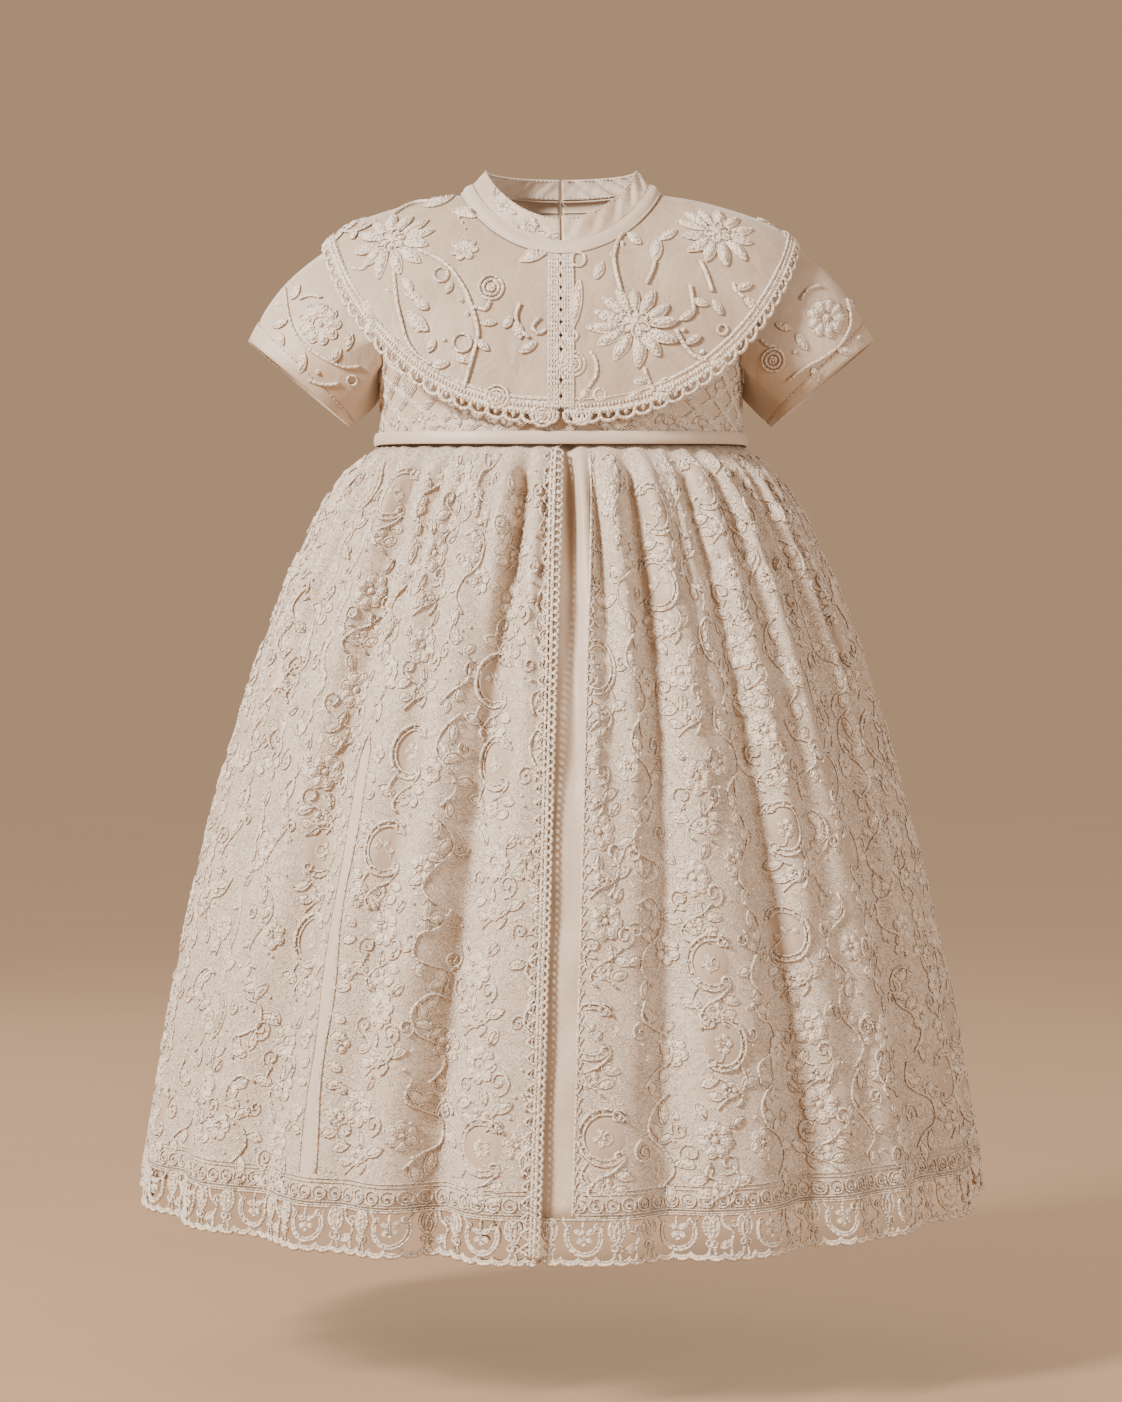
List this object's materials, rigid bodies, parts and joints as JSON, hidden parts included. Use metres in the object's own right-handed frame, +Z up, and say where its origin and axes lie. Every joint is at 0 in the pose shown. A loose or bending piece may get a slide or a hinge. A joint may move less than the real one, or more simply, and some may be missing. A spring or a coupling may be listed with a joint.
{
  "type": "christening gown",
  "caption": "Hollow baby's christening gown with a stand collar, split lace-edged capelet, short sleeves, gathered lace skirt and open lace hem.",
  "frame": {"origin": "middle of the neck at shoulder height, where a wearer's shoulders hold the gown", "axes": "+Z up, front faces -Y, +X to the viewer's right of the front"},
  "size_m": [0.453, 0.3512, 0.5601],
  "materials": {
    "satin": "satin with a corded lace overlay on the skirt",
    "lace": "matte corded cotton lace",
    "organza": "crisp semi-matte organza",
    "button": "pearl"
  },
  "bodies": {
    "root": {"capelet_left_braid": "lace", "capelet_left_lace": "lace", "capelet_right_braid": "lace", "capelet_right_lace": "lace", "flower_left_large": "lace", "flower_left_small": "lace", "flower_right_large": "lace", "flower_right_shoulder": "lace", "front_trim": "lace", "hem_lace_back": "lace", "hem_lace_left": "lace", "hem_lace_right": "lace", "bodice_back_left": "satin", "bodice_back_right": "satin", "bodice_front": "satin", "capelet_left": "satin", "capelet_right": "satin", "neck_band": "satin", "skirt_back": "satin", "skirt_left": "satin", "skirt_right": "satin", "sleeve_left": "satin", "sleeve_right": "satin", "waist_band_back_left": "satin", "waist_band_back_right": "satin", "waist_band_front": "satin", "collar_left": "organza", "collar_right": "organza", "back_button_neck": "button", "back_button_waist": "button"}
  },
  "joints": []
}
